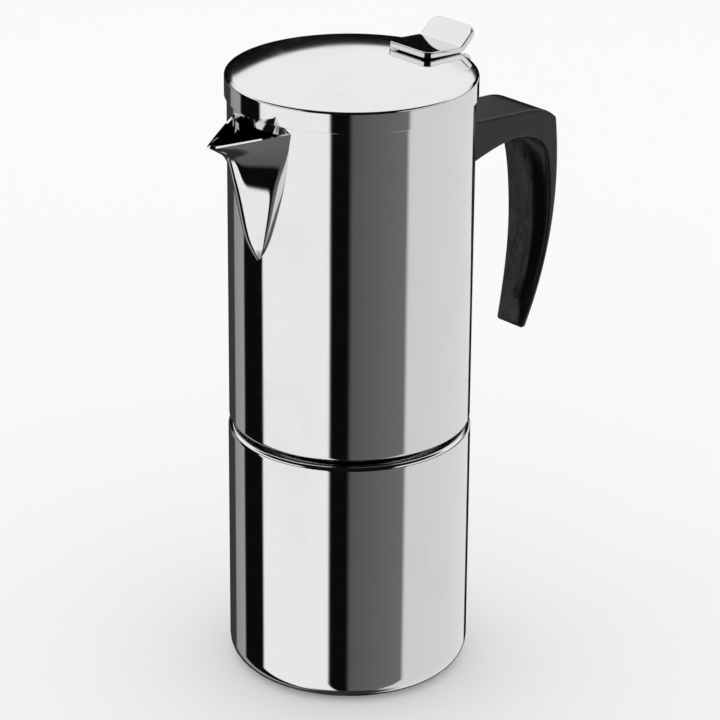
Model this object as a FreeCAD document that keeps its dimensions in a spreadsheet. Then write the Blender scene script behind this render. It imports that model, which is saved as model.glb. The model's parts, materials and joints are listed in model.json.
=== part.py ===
import FreeCAD, Part
import math
import os
import Sketcher
from FreeCAD import Placement, Rotation, Vector

# A stove-top coffee maker in three stages: a boiler with a threaded neck, a funnel that hangs in that
# neck and holds the coffee, and a collector that screws down on it with a gasket and a filter plate.
# Frame: origin at the centre of the flat base, +Z up, spout towards -X, handle and lid hinge towards +X.
# All sizes are millimetres.

doc = FreeCAD.newDocument("moka_pot")

# ---------------------------------------------------------------- driving dimensions

DIMENSIONS = [
    # boiler
    ("boiler_radius", 45.3, "outside of the boiler wall"),
    ("boiler_wall", 1.2, "sheet thickness of the boiler"),
    ("base_thickness", 1.6, "floor of the boiler"),
    ("base_round", 8.0, "round between floor and wall"),
    ("shoulder_top", 97.0, "flat shoulder that the neck stands on"),
    ("shoulder_round", 2.0, "round between wall and shoulder"),
    ("neck_top", 110.0, "rim of the neck"),
    ("neck_radius", 35.0, "root of the neck's outside thread"),
    ("neck_bore", 33.4, "inside of the neck"),
    # screw thread
    ("pitch", 4.0, "rise of the thread in one turn"),
    ("thread_depth", 1.2, "root to crest"),
    ("thread_root", 2.2, "width of a ridge at its root"),
    ("thread_crest", 1.2, "width of a ridge at its crest"),
    ("thread_sink", 0.3, "how far a ridge starts inside its wall"),
    ("male_start", 100.5, "middle of the neck's ridge where it starts"),
    ("male_turns", 2.0, "turns of the neck's ridge"),
    ("female_start", 102.5, "middle of the collar's ridge where it starts"),
    ("female_turns", 1.6, "turns of the collar's ridge"),
    ("collar_bore", 36.6, "root of the collar's inside thread"),
    # collector
    ("collector_radius", 45.0, "outside of the collector wall"),
    ("collector_wall", 1.0, "sheet thickness of the collector"),
    ("collector_foot", 99.0, "lower edge of the collector"),
    ("collector_rim", 231.4, "upper edge of the collector"),
    ("foot_round", 1.6, "rolled lower edge of the collector"),
    ("floor_bottom", 115.2, "underside of the collector's floor"),
    ("floor_thickness", 1.0, "sheet thickness of the floor"),
    ("floor_hole", 6.5, "water way through the floor"),
    ("collar_wall", 1.4, "wall of the threaded collar"),
    # riser column
    ("column_foot_radius", 9.0, "outside of the column at the floor"),
    ("column_top_radius", 6.2, "outside of the column at its top"),
    ("column_wall", 0.9, "wall of the column"),
    ("column_top", 194.0, "upper edge of the column"),
    ("column_flange", 13.0, "welded flange at the column's foot"),
    # funnel
    ("flange_radius", 34.8, "rim that hangs on the neck"),
    ("flange_gap", 0.1, "air between the rim and the neck"),
    ("funnel_sheet", 0.8, "sheet thickness of the funnel"),
    ("cup_radius", 32.6, "outside of the coffee cup"),
    ("cup_bottom", 80.0, "lower edge of the coffee cup's wall"),
    ("cone_bottom", 70.0, "where the cone meets the stem"),
    ("stem_radius", 4.6, "outside of the stem"),
    ("stem_bottom", 7.0, "open end of the stem"),
    ("stem_wall", 0.8, "wall of the stem"),
    # seal
    ("gasket_bottom", 111.0, "underside of the rubber ring"),
    ("gasket_height", 3.0, "thickness of the rubber ring"),
    ("gasket_outer", 36.2, "outside of the rubber ring"),
    ("gasket_inner", 30.0, "inside of the rubber ring"),
    ("plate_radius", 35.2, "outside of the filter plate"),
    ("plate_thickness", 0.6, "sheet thickness of the filter plate"),
    # lid
    ("lid_radius", 45.9, "outside of the lid's skirt"),
    ("lid_sheet", 0.6, "sheet thickness of the lid"),
    ("lid_edge", 232.8, "height of the lid's edge"),
    ("lid_dome", 1.2, "rise of the lid's middle above its edge"),
    ("lid_skirt", 8.0, "depth of the skirt"),
    ("lid_round", 1.0, "round at the lid's edge"),
    # lever
    ("lever_width", 22.0, "width of the lever"),
    ("lever_sheet", 1.8, "plate thickness of the lever"),
    ("lever_start", 27.0, "inner end of the lever"),
    ("lever_lift", 234.8, "underside of the lever's free inner end"),
    ("lever_fold", 44.2, "where the thumb tab bends up"),
    ("lever_seat", 233.2, "underside of the lever at the fold, where it is welded down"),
    ("lever_tab", 9.8, "length of the thumb tab"),
    ("lever_bend", 42.0, "how steeply the thumb tab is bent up, in degrees"),
    # lid hinge
    ("hinge_x", 50.6, "hinge pin from the pot's axis"),
    ("hinge_z", 226.6, "height of the hinge pin"),
    ("pin_radius", 1.5, "hinge pin"),
    ("pin_play", 0.06, "running clearance of the knuckle on the pin"),
    ("knuckle_radius", 3.0, "outside of the knuckle"),
    ("knuckle_width", 9.0, "length of the knuckle"),
    ("ear_gap", 0.3, "air between the knuckle and each ear"),
    ("ear_sheet", 1.6, "plate thickness of the hinge bracket"),
    ("bracket_bottom", 207.5, "lower edge of the hinge bracket"),
    ("bracket_top", 222.5, "upper edge of the bracket's back"),
    # spout
    ("spout_top", 222.6, "rim of the spout at the collector's wall"),
    ("spout_fall", 3.3, "how far the rim falls from the wall to the tip"),
    ("spout_tip", 67.0, "tip of the spout from the pot's axis"),
    ("spout_half", 14.8, "half width of the spout where it meets the wall"),
    ("spout_nose", 2.8, "round of the spout's keel at the rim"),
    ("spout_sheet", 1.0, "sheet thickness of the spout"),
    # handle
    ("arm_top", 205.6, "top of the handle at the collector"),
    ("arm_drop", 2.4, "how far the arm's top falls to the corner"),
    ("handle_corner", 20.0, "how far before the outside the arm's top turns down"),
    ("handle_half", 12.2, "half width of the handle at its top"),
    ("tip_half", 6.6, "half width of the handle at its tip"),
    ("handle_reach", 100.0, "furthest point of the grip from the pot's axis"),
    ("handle_tip", 112.0, "lower end of the grip"),
    ("tang_length", 22.0, "steel tang inside the handle"),
    ("tang_height", 7.0, "height of the tang"),
    ("tang_width", 9.0, "width of the tang"),
    ("tang_bottom", 193.6, "underside of the tang"),
    ("screw_radius", 2.0, "shank of the handle's screws"),
    # safety valve
    ("valve_height", 68.0, "height of the safety valve"),
    ("valve_thread", 5.0, "outside of the valve's thread"),
    ("valve_flats", 14.0, "across the flats of the valve"),
    ("valve_out", 55.6, "outer face of the valve from the pot's axis"),
    ("valve_in", 40.0, "inner end of the valve from the pot's axis"),
    ("valve_chamber", 3.4, "bore that the spring sits in"),
    ("valve_inlet", 2.2, "bore that the steam comes in by"),
    ("stem_bore", 1.5, "hole that the valve pin comes out of"),
    ("pin_stem", 1.42, "stem of the valve pin"),
    ("pin_head", 3.1, "head of the valve pin"),
]


class Size:
    """A length that knows both its value and the formula that ties it to the sheet."""

    def __init__(self, value, text):
        self.value = value
        self.text = text

    @staticmethod
    def parts(other):
        if isinstance(other, Size):
            return other.value, other.text
        return float(other), repr(float(other))

    def __add__(self, other):
        value, text = Size.parts(other)
        return Size(self.value + value, f"({self.text} + {text})")

    def __sub__(self, other):
        value, text = Size.parts(other)
        return Size(self.value - value, f"({self.text} - {text})")

    def __mul__(self, other):
        value, text = Size.parts(other)
        return Size(self.value * value, f"({self.text} * {text})")

    def __neg__(self):
        return Size(-self.value, f"(-1 * {self.text})")

    __radd__ = __add__
    __rmul__ = __mul__


class Dims:
    """The sheet's cells by alias, so that dims.pitch is the Size in the cell called pitch."""


sheet = doc.addObject("Spreadsheet::Sheet", "dims")
dims = Dims()
for row, (alias, value, meaning) in enumerate(DIMENSIONS, start=1):
    sheet.set(f"A{row}", meaning)
    sheet.set(f"B{row}", str(value))
    sheet.setAlias(f"B{row}", alias)
    setattr(dims, alias, Size(value, f"dims.{alias}"))
doc.recompute()


# ---------------------------------------------------------------- small helpers

def drive(thing, prop, size):
    """Sets a property from a Size, and ties it to the sheet; a plain number is only set."""
    if isinstance(size, Size):
        thing.setExpression(prop, size.text)
    else:
        setattr(thing, prop, size)


def value_of(size):
    return size.value if isinstance(size, Size) else float(size)


def new_body(label):
    body = doc.addObject("PartDesign::Body", label)
    body.Label = label
    return body


def sketch_on(body, plane, height=None):
    """An empty sketch on one of the body's own origin planes, lifted by height along its normal."""
    sketch = body.newObject("Sketcher::SketchObject", f"{body.Name}_sketch")
    origin = [feature for feature in body.Origin.OriginFeatures if feature.Role == plane][0]
    sketch.AttachmentSupport = [(origin, "")]
    sketch.MapMode = "FlatFace"
    if height is not None:
        sketch.AttachmentOffset = Placement(Vector(0, 0, value_of(height)), Rotation())
        if isinstance(height, Size):
            sketch.setExpression("AttachmentOffset.Base.z", height.text)
    return sketch


def hold(sketch, geometry, point, across, up):
    """Places one point of a sketch by two distances from its origin."""
    for kind, size in (("DistanceX", across), ("DistanceY", up)):
        constraint = Sketcher.Constraint(kind, -1, 1, geometry, point, value_of(size))
        index = sketch.addConstraint(constraint)
        if isinstance(size, Size):
            sketch.setExpression(f"Constraints[{index}]", size.text)


def outline(sketch, corners):
    """A closed chain of straight lines through the corners, each corner held by the sheet."""
    first = sketch.GeometryCount
    points = [Vector(value_of(across), value_of(up), 0) for across, up in corners]
    for start, end in zip(points, points[1:] + points[:1]):
        sketch.addGeometry(Part.LineSegment(start, end), False)
    count = len(corners)
    for number, (across, up) in enumerate(corners):
        following = first + (number + 1) % count
        sketch.addConstraint(Sketcher.Constraint("Coincident", first + number, 2, following, 1))
        hold(sketch, first + number, 1, across, up)


def circle(sketch, radius, across=0.0, up=0.0):
    centre = Vector(value_of(across), value_of(up), 0)
    index = sketch.addGeometry(Part.Circle(centre, Vector(0, 0, 1), value_of(radius)), False)
    hold(sketch, index, 3, across, up)
    constraint = sketch.addConstraint(Sketcher.Constraint("Radius", index, value_of(radius)))
    if isinstance(radius, Size):
        sketch.setExpression(f"Constraints[{constraint}]", radius.text)


def revolve(body, corners, feature="PartDesign::Revolution"):
    """Turns an outline in the XZ plane once round the pot's axis."""
    sketch = sketch_on(body, "XZ_Plane")
    outline(sketch, corners)
    turned = body.newObject(feature, f"{body.Name}_turn")
    turned.Profile = sketch
    turned.ReferenceAxis = (sketch, ["V_Axis"])
    turned.Angle = 360
    doc.recompute()
    return turned


def pocket(body, sketch, midplane=True, length=400.0, reversed_way=False):
    """Cuts a sketch through the body and checks that it took something away."""
    before = body.Shape.Volume
    feature = body.newObject("PartDesign::Pocket", f"{body.Name}_pocket")
    feature.Profile = sketch
    drive(feature, "Length", length)
    feature.Midplane = midplane
    feature.Reversed = reversed_way
    doc.recompute()
    if body.Shape.Volume >= before - 1e-6:
        raise RuntimeError(f"{feature.Name} cut nothing")
    return feature


def edge_names(feature, wanted):
    """Names of the edges of a feature that wanted() says yes to."""
    edges = feature.Shape.Edges
    return [f"Edge{number}" for number, edge in enumerate(edges, start=1) if wanted(edge)]


def fillet(body, wanted, radius):
    base = body.Tip
    names = edge_names(base, wanted)
    if not names:
        raise RuntimeError(f"{body.Name}: no edge to round")
    feature = body.newObject("PartDesign::Fillet", f"{body.Name}_round")
    feature.Base = (base, names)
    drive(feature, "Radius", radius)
    doc.recompute()
    return feature


def ring_at(radius, height):
    """A test for circles about the pot's axis of this radius at this height."""
    radius = value_of(radius)
    height = value_of(height)

    def wanted(edge):
        curve = edge.Curve
        return (isinstance(curve, Part.Circle) and abs(curve.Radius - radius) < 0.01
                and abs(curve.Center.z - height) < 0.01)
    return wanted


def thread(body, wall, crest, start, turns):
    """A right-handed ridge along a helix, from inside the wall out to its crest."""
    sketch = sketch_on(body, "XZ_Plane")
    root_half = dims.thread_root * 0.5
    crest_half = dims.thread_crest * 0.5
    outline(sketch, [(wall, start - root_half), (crest, start - crest_half),
                     (crest, start + crest_half), (wall, start + root_half)])
    ridge = body.newObject("PartDesign::AdditiveHelix", f"{body.Name}_ridge")
    ridge.Profile = sketch
    ridge.ReferenceAxis = (sketch, ["V_Axis"])
    ridge.Mode = 1
    drive(ridge, "Pitch", dims.pitch)
    drive(ridge, "Turns", turns)
    ridge.LeftHanded = False
    doc.recompute()
    return ridge


def solid(kind, label, **sizes):
    """A Part primitive or boolean with its sizes tied to the sheet."""
    thing = doc.addObject(kind, label)
    thing.Label = label
    for prop, size in sizes.items():
        drive(thing, prop, size)
    return thing


def place(thing, x=0.0, y=0.0, z=0.0, axis=None, angle=0.0):
    """Puts a primitive in place, with each driven coordinate tied to the sheet."""
    turn = Rotation(Vector(*axis), angle) if axis else Rotation()
    thing.Placement = Placement(Vector(value_of(x), value_of(y), value_of(z)), turn)
    for letter, size in (("x", x), ("y", y), ("z", z)):
        if isinstance(size, Size):
            thing.setExpression(f"Placement.Base.{letter}", size.text)
    return thing


def cut(label, base, tool):
    thing = doc.addObject("Part::Cut", label)
    thing.Label = label
    thing.Base = base
    thing.Tool = tool
    return thing


def fuse(label, shapes):
    thing = doc.addObject("Part::MultiFuse", label)
    thing.Label = label
    thing.Shapes = shapes
    return thing


ALONG_Y = {"axis": (1, 0, 0), "angle": -90}
node_names = []


def node(thing):
    """Marks an object as one of the pieces that are written out."""
    node_names.append(thing.Name)
    return thing


# ---------------------------------------------------------------- boiler

def boiler_shell():
    body = new_body("boiler_shell")
    inside = dims.boiler_radius - dims.boiler_wall
    under_shoulder = dims.shoulder_top - dims.boiler_wall
    revolve(body, [
        (0, 0), (dims.boiler_radius, 0), (dims.boiler_radius, dims.shoulder_top),
        (dims.neck_radius, dims.shoulder_top), (dims.neck_radius, dims.neck_top),
        (dims.neck_bore, dims.neck_top), (dims.neck_bore, under_shoulder),
        (inside, under_shoulder), (inside, dims.base_thickness), (0, dims.base_thickness)])
    fillet(body, ring_at(dims.boiler_radius, 0), dims.base_round)
    fillet(body, ring_at(inside, dims.base_thickness), dims.base_round - dims.boiler_wall)
    fillet(body, ring_at(dims.boiler_radius, dims.shoulder_top), dims.shoulder_round)
    valve_hole = sketch_on(body, "XZ_Plane")
    circle(valve_hole, dims.valve_thread + 0.05, 0.0, dims.valve_height)
    pocket(body, valve_hole, midplane=False, length=60.0)
    thread(body, dims.neck_radius - dims.thread_sink, dims.neck_radius + dims.thread_depth,
           dims.male_start, dims.male_turns)
    return body


# ---------------------------------------------------------------- safety valve, on the +Y side

def tube_along_y(label, outer, inner, start, end):
    """A ring about the valve's axis, from start to end along Y."""
    skin = solid("Part::Cylinder", f"{label}_skin", Radius=outer, Height=end - start)
    place(skin, y=start, z=dims.valve_height, **ALONG_Y)
    bore = solid("Part::Cylinder", f"{label}_bore", Radius=inner, Height=end - start)
    place(bore, y=start, z=dims.valve_height, **ALONG_Y)
    return skin, bore


def hexagon_along_y(label, start, end):
    corner_radius = dims.valve_flats * (0.5 / math.cos(math.pi / 6))
    nut = solid("Part::Prism", label, Circumradius=corner_radius, Height=end - start)
    nut.Polygon = 6
    return place(nut, y=start, z=dims.valve_height, **ALONG_Y)


def rod_along_y(label, radius, start, end):
    rod = solid("Part::Cylinder", label, Radius=radius, Height=end - start)
    return place(rod, y=start, z=dims.valve_height, **ALONG_Y)


seat_start = dims.boiler_radius - 1.3
seat_end = dims.boiler_radius + 1.7
head_start = dims.valve_in + 5.0
head_end = head_start + 1.6
chamber_end = dims.valve_out - 1.6


def valve_washer():
    """A saddle washer: flat outside, and hollowed to the round of the boiler's wall."""
    skin, bore = tube_along_y("washer", 8.6, dims.valve_thread + 0.1, seat_start, seat_end)
    wall = solid("Part::Cylinder", "washer_wall", Radius=dims.boiler_radius,
                 Height=dims.shoulder_top)
    return cut("valve_washer", cut("washer_ring", skin, bore), wall)


def valve_body():
    """Threaded stem, hexagon and nose, bored for the steam, the spring and the pin."""
    outside = fuse("valve_outside", [
        rod_along_y("valve_stem", dims.valve_thread, dims.valve_in, seat_end),
        hexagon_along_y("valve_hexagon", seat_end, seat_end + 4.6),
        rod_along_y("valve_nose", 5.6, seat_end + 4.6, dims.valve_out)])
    inside = fuse("valve_inside", [
        rod_along_y("valve_inlet_bore", dims.valve_inlet, dims.valve_in, head_start),
        rod_along_y("valve_chamber_bore", dims.valve_chamber, head_start, chamber_end),
        rod_along_y("valve_outlet_bore", dims.stem_bore, chamber_end, dims.valve_out)])
    return cut("valve_body", outside, inside)


def valve_nut():
    nut = hexagon_along_y("nut_hexagon", dims.valve_in + 0.4, dims.valve_in + 3.2)
    bore = rod_along_y("nut_bore", dims.valve_thread + 0.03, dims.valve_in, head_start)
    return cut("valve_nut", nut, bore)


def valve_pin():
    return fuse("valve_pin", [
        rod_along_y("pin_head", dims.pin_head, head_start + 0.1, head_end),
        rod_along_y("pin_stem", dims.pin_stem, head_end, dims.valve_out + 2.0)])


def valve_spring():
    """A small coil round the pin's stem, between its head and the nose."""
    wire = 0.32
    coil_radius = 2.35
    turns = 5.0
    start = value_of(head_end) + wire + 0.05
    end = value_of(chamber_end) - wire - 0.05
    helix = Part.makeHelix((end - start) / turns, end - start, coil_radius)
    section = Part.Wire(Part.makeCircle(wire, Vector(coil_radius, 0, 0), Vector(0, 1, 0)))
    coil = Part.Wire(helix.Edges).makePipeShell([section], True, True)
    spring = doc.addObject("Part::Feature", "valve_spring")
    spring.Label = "valve_spring"
    spring.Shape = coil
    return place(spring, y=start, z=dims.valve_height, **ALONG_Y)


# ---------------------------------------------------------------- funnel and seal

def rows_of_holes(body, z_low, z_high, rings, hole_radius):
    """Drills rings of small holes straight down through a plate."""
    sketch = sketch_on(body, "XY_Plane", z_low - 1.0)
    for radius, count in rings:
        for number in range(count):
            turn = 2 * math.pi * number / count
            circle(sketch, hole_radius, radius * math.cos(turn), radius * math.sin(turn))
    pocket(body, sketch, midplane=False, length=z_high - z_low + 2.0, reversed_way=True)


def funnel_cup():
    """Rim, cup wall and cone in one drawn sheet, open to the stem in the middle."""
    body = new_body("funnel_cup")
    rim_low = dims.neck_top + dims.flange_gap
    cup_inside = dims.cup_radius - dims.funnel_sheet
    revolve(body, [
        (dims.stem_radius, dims.cone_bottom), (dims.cup_radius, dims.cup_bottom),
        (dims.cup_radius, rim_low), (dims.flange_radius, rim_low),
        (dims.flange_radius, rim_low + dims.funnel_sheet), (cup_inside, rim_low + dims.funnel_sheet),
        (cup_inside, dims.cup_bottom + dims.funnel_sheet),
        (dims.stem_radius, dims.cone_bottom + dims.funnel_sheet * 1.1)])
    return body


def funnel_stem():
    body = new_body("funnel_stem")
    inside = dims.stem_radius - dims.stem_wall
    revolve(body, [
        (inside, dims.stem_bottom), (dims.stem_radius, dims.stem_bottom),
        (dims.stem_radius, dims.cone_bottom + dims.funnel_sheet * 1.1),
        (inside, dims.cone_bottom + dims.funnel_sheet * 1.1)])
    return body


def funnel_plate():
    """The perforated plate that the ground coffee lies on."""
    body = new_body("funnel_plate")
    low = dims.cup_bottom + 1.6
    high = low + dims.plate_thickness
    edge = dims.cup_radius - dims.funnel_sheet
    revolve(body, [(0, low), (edge, low), (edge, high), (0, high)])
    rows_of_holes(body, low, high, [(5.0, 6), (10.0, 12), (15.0, 18), (20.0, 24), (25.0, 30)], 0.9)
    return body


def gasket():
    body = new_body("gasket")
    high = dims.gasket_bottom + dims.gasket_height
    revolve(body, [(dims.gasket_inner, dims.gasket_bottom), (dims.gasket_outer, dims.gasket_bottom),
                   (dims.gasket_outer, high), (dims.gasket_inner, high)])
    return body


def filter_plate():
    """The perforated disc that the gasket holds against the collector."""
    body = new_body("filter_plate")
    low = dims.gasket_bottom + dims.gasket_height
    high = low + dims.plate_thickness
    revolve(body, [(0, low), (dims.plate_radius, low), (dims.plate_radius, high), (0, high)])
    rows_of_holes(body, low, high, [(4.5, 6), (9.0, 12), (13.5, 18), (18.0, 24), (22.5, 30),
                                    (27.0, 36)], 0.8)
    return body


# ---------------------------------------------------------------- collector

def collector_shell():
    """The outer wall: rolled in at its foot, and open to the spout."""
    body = new_body("collector_shell")
    inside = dims.collector_radius - dims.collector_wall
    lip_top = dims.collector_foot + dims.collector_wall
    revolve(body, [
        (dims.collar_bore + 5.8, dims.collector_foot), (dims.collector_radius, dims.collector_foot),
        (dims.collector_radius, dims.collector_rim), (inside, dims.collector_rim),
        (inside, lip_top), (dims.collar_bore + 5.8, lip_top)])
    fillet(body, ring_at(dims.collector_radius, dims.collector_foot), dims.foot_round)
    return body


def collector_floor():
    body = new_body("collector_floor")
    edge = dims.collector_radius - dims.collector_wall
    top = dims.floor_bottom + dims.floor_thickness
    revolve(body, [(dims.floor_hole, dims.floor_bottom), (edge, dims.floor_bottom),
                   (edge, top), (dims.floor_hole, top)])
    return body


def thread_collar():
    """The ring that screws on the neck, with a flange that rests on the wall's rolled foot."""
    body = new_body("thread_collar")
    low = dims.collector_foot + dims.collector_wall
    edge = dims.collector_radius - dims.collector_wall
    outside = dims.collar_bore + dims.collar_wall
    revolve(body, [(dims.collar_bore, low), (edge, low), (edge, low + 1.0), (outside, low + 1.0),
                   (outside, dims.floor_bottom), (dims.collar_bore, dims.floor_bottom)])
    thread(body, dims.collar_bore + dims.thread_sink, dims.collar_bore - dims.thread_depth,
           dims.female_start, dims.female_turns)
    return body


def riser_column():
    """A tapering tube with a welded foot and two outlets under its cap."""
    body = new_body("riser_column")
    low = dims.floor_bottom + dims.floor_thickness
    foot_inside = dims.column_foot_radius - dims.column_wall
    top_inside = dims.column_top_radius - dims.column_wall
    revolve(body, [
        (foot_inside, low), (dims.column_flange, low), (dims.column_flange, low + 1.0),
        (dims.column_foot_radius, low + 1.0), (dims.column_top_radius, dims.column_top),
        (top_inside, dims.column_top), (foot_inside, low + 1.0)])
    outlet = sketch_on(body, "XZ_Plane")
    outline(outlet, [(-2.8, dims.column_top - 11.0), (2.8, dims.column_top - 11.0),
                     (2.8, dims.column_top - 4.0), (-2.8, dims.column_top - 4.0)])
    pocket(body, outlet, length=40.0)
    return body


def column_cap():
    body = new_body("column_cap")
    plug = dims.column_top_radius - dims.column_wall
    revolve(body, [(0, dims.column_top - 2.0), (plug, dims.column_top - 2.0),
                   (plug, dims.column_top), (dims.column_top_radius + 0.8, dims.column_top),
                   (dims.column_top_radius + 0.8, dims.column_top + 1.6),
                   (0, dims.column_top + 1.6)])
    fillet(body, ring_at(dims.column_top_radius + 0.8, dims.column_top + 1.6), 1.2)
    return body


def v_outline(tip, half, nose, knee, knee_half, height):
    """A level V: two sides, two wings tangent to a round nose, closed across the back."""
    root = SPOUT_BACK + 4.0
    centre = -(tip - nose)
    away = math.hypot(-knee - centre, knee_half)
    turn = math.atan2(knee_half, -knee - centre) + math.acos(nose / away)
    touch_x = centre + nose * math.cos(turn)
    touch_y = nose * math.sin(turn)

    def at(x, y):
        return Vector(x, y, height)
    return Part.Wire([
        Part.makeLine(at(-SPOUT_BACK, -half), at(-root, -half)),
        Part.makeLine(at(-root, -half), at(-knee, -knee_half)),
        Part.makeLine(at(-knee, -knee_half), at(touch_x, -touch_y)),
        Part.Arc(at(touch_x, -touch_y), at(-tip, 0), at(touch_x, touch_y)).toShape(),
        Part.makeLine(at(touch_x, touch_y), at(-knee, knee_half)),
        Part.makeLine(at(-knee, knee_half), at(-root, half)),
        Part.makeLine(at(-root, half), at(-SPOUT_BACK, half)),
        Part.makeLine(at(-SPOUT_BACK, half), at(-SPOUT_BACK, -half))])


SPOUT_BACK = 36.0


def spout_levels():
    """Height, tip, half width, keel round and step out of the wall, from above the rim downwards."""
    rim = dims.spout_top.value - dims.spout_fall.value
    tip = dims.spout_tip.value
    half = dims.spout_half.value
    nose = dims.spout_nose.value
    return [(rim + 5.2, tip + 4.2, half + 0.6, nose - 0.4, 0.3),
            (rim + 2.2, tip + 2.1, half + 0.4, nose - 0.2, 0.3),
            (rim, tip, half, nose, 0.3), (217.4, 64.0, 14.5, 3.0, 0.4), (215.8, 61.4, 14.3, 3.4, 0.7),
            (214.0, 59.2, 14.2, 3.8, 1.2), (210.0, 57.0, 13.9, 4.2, 2.4), (205.0, 55.7, 13.0, 4.6, 3.8),
            (199.0, 54.0, 11.9, 5.2, 4.0), (192.0, 52.3, 10.0, 5.4, 3.4), (185.0, 50.8, 7.9, 5.0, 2.8),
            (179.5, 49.3, 5.9, 4.2, 2.2), (175.6, 47.4, 3.7, 3.0, 1.2), (173.0, 45.9, 2.0, 1.6, 0.5),
            (171.8, 45.1, 1.0, 0.8, 0.1)]


def spout_form(shrink):
    """The spout as a solid scoop that runs on above its rim, made smaller all round by shrink."""
    wall = dims.collector_radius.value - 0.4
    sections = []
    for height, tip, half, nose, step in spout_levels():
        if nose > shrink:
            knee = math.sqrt(wall ** 2 - half ** 2) + step
            sections.append(v_outline(tip - shrink, half - shrink, nose - shrink, knee - shrink,
                                      half - 0.2 * step - shrink, height))
    return Part.makeLoft(sections, True, False)


def above_rim():
    """Everything over the slanted plane that the spout's rim lies in."""
    wall = dims.collector_radius.value - 2.0
    fall = math.degrees(math.atan2(dims.spout_fall.value, dims.spout_tip.value - wall))
    block = Part.makeBox(80, 80, 30, Vector(-60, -40, 0))
    block.rotate(Vector(0, 0, 0), Vector(0, 1, 0), -fall)
    block.translate(Vector(-wall, 0, dims.spout_top.value))
    return block


def feature(label, shape):
    """A piece whose shape is worked out with Part's own functions from the sheet's values."""
    thing = doc.addObject("Part::Feature", label)
    thing.Label = label
    thing.Shape = shape
    return thing


def pot_cylinder(radius, low=0.0, high=300.0):
    return Part.makeCylinder(value_of(radius), high - low, Vector(0, 0, low))


def spout():
    """A blunt scoop that opens into two wings and a flared lip, open to the collector."""
    scoop = spout_form(0.0).cut(above_rim()).cut(spout_form(dims.spout_sheet.value))
    return feature("spout", scoop.cut(pot_cylinder(dims.collector_radius)))


def open_to_spout(shell):
    """The collector's wall is cut away behind the spout's channel."""
    channel = feature("spout_channel", spout_form(dims.spout_sheet.value).cut(above_rim()))
    shell.Label = "collector_wall_plain"
    return cut("collector_wall", shell, channel)


# ---------------------------------------------------------------- lid, lever and hinge

def lid_disc():
    """A pressed disc with a low dome and a straight skirt."""
    radius = dims.lid_radius.value
    sheet_thickness = dims.lid_sheet.value
    edge = dims.lid_edge.value
    dome = dims.lid_dome.value
    low = edge - dims.lid_skirt.value

    def domed_plug(out, top):
        profile = Part.Wire([
            Part.Arc(Vector(-out, 0, top), Vector(0, 0, top + dome), Vector(out, 0, top)).toShape(),
            Part.makePolygon([Vector(out, 0, top), Vector(out, 0, low), Vector(-out, 0, low),
                              Vector(-out, 0, top)])])
        half = Part.Face(profile).common(
            Part.makeBox(out + 1, 2, 60, Vector(0, -1, low - 1)))
        return half.revolve(Vector(0, 0, 0), Vector(0, 0, 1), 360)

    outer = domed_plug(radius, edge)
    rim = [e for e in outer.Edges if not e.Degenerated and isinstance(e.Curve, Part.Circle)
           and abs(e.Curve.Center.z - edge) < 0.01 and abs(e.Curve.Radius - radius) < 0.01]
    outer = outer.makeFillet(dims.lid_round.value, rim)
    return feature("lid_disc", outer.cut(domed_plug(radius - sheet_thickness,
                                                    edge - sheet_thickness)))


def rounded_plan(x_start, x_end, half, start_round, end_round, height):
    """A level rectangle with its two corners at each end rounded."""
    def at(x, y):
        return Vector(x, y, height)

    def corner(x, y, x_way, y_way, size, x_first):
        on_x = at(x + x_way * size, y)
        on_y = at(x, y + y_way * size)
        bulge = size * (1 - math.sqrt(0.5))
        middle = at(x + x_way * bulge, y + y_way * bulge)
        ends = (on_x, on_y) if x_first else (on_y, on_x)
        return Part.Arc(ends[0], middle, ends[1]).toShape()
    arcs = [corner(x_start, -half, 1, 1, start_round, False),
            corner(x_end, -half, -1, 1, end_round, True),
            corner(x_end, half, -1, -1, end_round, False),
            corner(x_start, half, 1, -1, start_round, True)]
    edges = []
    for arc, following in zip(arcs, arcs[1:] + arcs[:1]):
        edges += [arc, Part.makeLine(arc.Vertexes[-1].Point, following.Vertexes[0].Point)]
    return Part.Wire(edges)


def plate_from(plan, thickness, angle, x, z):
    """A plate on a plan drawn from the fold line, turned about that line and set down there."""
    plate = Part.Face(plan).extrude(Vector(0, 0, -thickness))
    plate.rotate(Vector(0, 0, 0), Vector(0, 1, 0), -angle)
    plate.translate(Vector(x, 0, z))
    return plate


def thumb_lever():
    """A plate welded to the lid on two studs, with its outer end bent up as a thumb tab."""
    half = dims.lever_width.value / 2
    thickness = dims.lever_sheet.value
    fold = dims.lever_fold.value
    fold_top = dims.lever_seat.value + thickness
    length = fold - dims.lever_start.value
    slope = -math.degrees(math.atan2(dims.lever_lift.value - dims.lever_seat.value, length))
    bend = dims.lever_bend.value
    nearly_square = 0.05
    arm = plate_from(rounded_plan(-length, 0, half, 5.0, nearly_square, 0), thickness, slope,
                     fold, fold_top)
    tab = plate_from(rounded_plan(0, dims.lever_tab.value, half, nearly_square, 4.0, 0),
                     thickness, bend, fold, fold_top)
    knee = Part.makeCylinder(thickness, 2 * half, Vector(0, 0, 0), Vector(0, 0, 1), bend - slope)
    knee.rotate(Vector(0, 0, 0), Vector(1, 0, 0), 90)
    knee.rotate(Vector(0, 0, 0), Vector(0, 1, 0), 90 - slope)
    knee.translate(Vector(fold, half, fold_top))
    lid = doc.getObjectsByLabel("lid_disc")[0].Shape
    studs = [Part.makeCylinder(2.2, 1.3, Vector(fold - 3.4, y, dims.lid_edge.value - 0.1))
             .cut(lid) for y in (-6.0, 6.0)]
    return feature("thumb_lever", arm.fuse([tab, knee] + studs).removeSplitter())


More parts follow.
